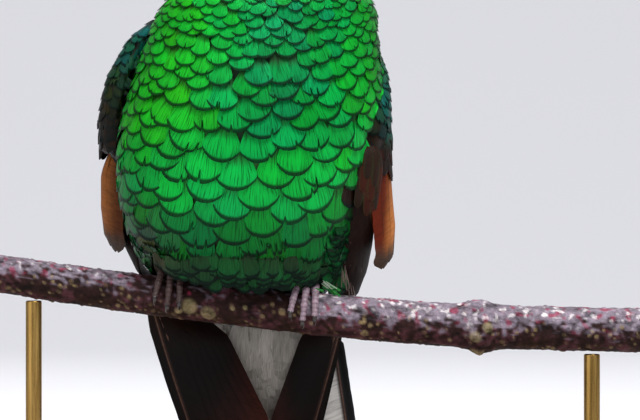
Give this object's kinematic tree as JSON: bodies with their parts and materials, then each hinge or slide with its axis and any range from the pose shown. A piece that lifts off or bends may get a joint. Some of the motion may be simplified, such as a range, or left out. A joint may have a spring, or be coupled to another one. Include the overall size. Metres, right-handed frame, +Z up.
{
  "type": "hummingbird model",
  "caption": "Life-size still hummingbird, perched upright on a cut twig with its head turned aside, on a plain display stand.",
  "frame": {"origin": "middle of the stand base's underside", "axes": "+Z up, +X along the twig to the bird's left, -Y the way the breast faces"},
  "size_m": [0.086, 0.046, 0.0866],
  "materials": {
    "green_plumage": "iridescent green feathers with dark fringes",
    "covert_feathers": "dull bronze green feathers",
    "secondary_feathers": "rufous vanes with dusky tips",
    "primary_feathers": "blackish brown vanes",
    "tail_feathers": "black and white vanes",
    "undertail_down": "soft white feathers",
    "bill_horn": "black horn, satin",
    "eye": "dark brown, wet gloss",
    "foot_skin": "scaled skin with dark claws",
    "twig_bark": "rough bark with pale lenticels and lichen",
    "base_wood": "dark oiled hardwood",
    "rod_brass": "satin"
  },
  "bodies": {
    "root": {"head": "green_plumage", "neck": "green_plumage", "trunk": "green_plumage", "undertail_coverts": "undertail_down", "tail": "tail_feathers", "bill_upper": "bill_horn", "bill_lower": "bill_horn", "eye_left": "eye", "eye_right": "eye", "wing_left_coverts": "covert_feathers", "wing_left_secondaries": "secondary_feathers", "wing_left_primaries": "primary_feathers", "leg_left": "foot_skin", "wing_right_coverts": "covert_feathers", "wing_right_secondaries": "secondary_feathers", "wing_right_primaries": "primary_feathers", "leg_right": "foot_skin", "perch": "twig_bark", "stand_base": "base_wood", "stand_rod_left": "rod_brass", "stand_rod_right": "rod_brass"}
  },
  "joints": []
}
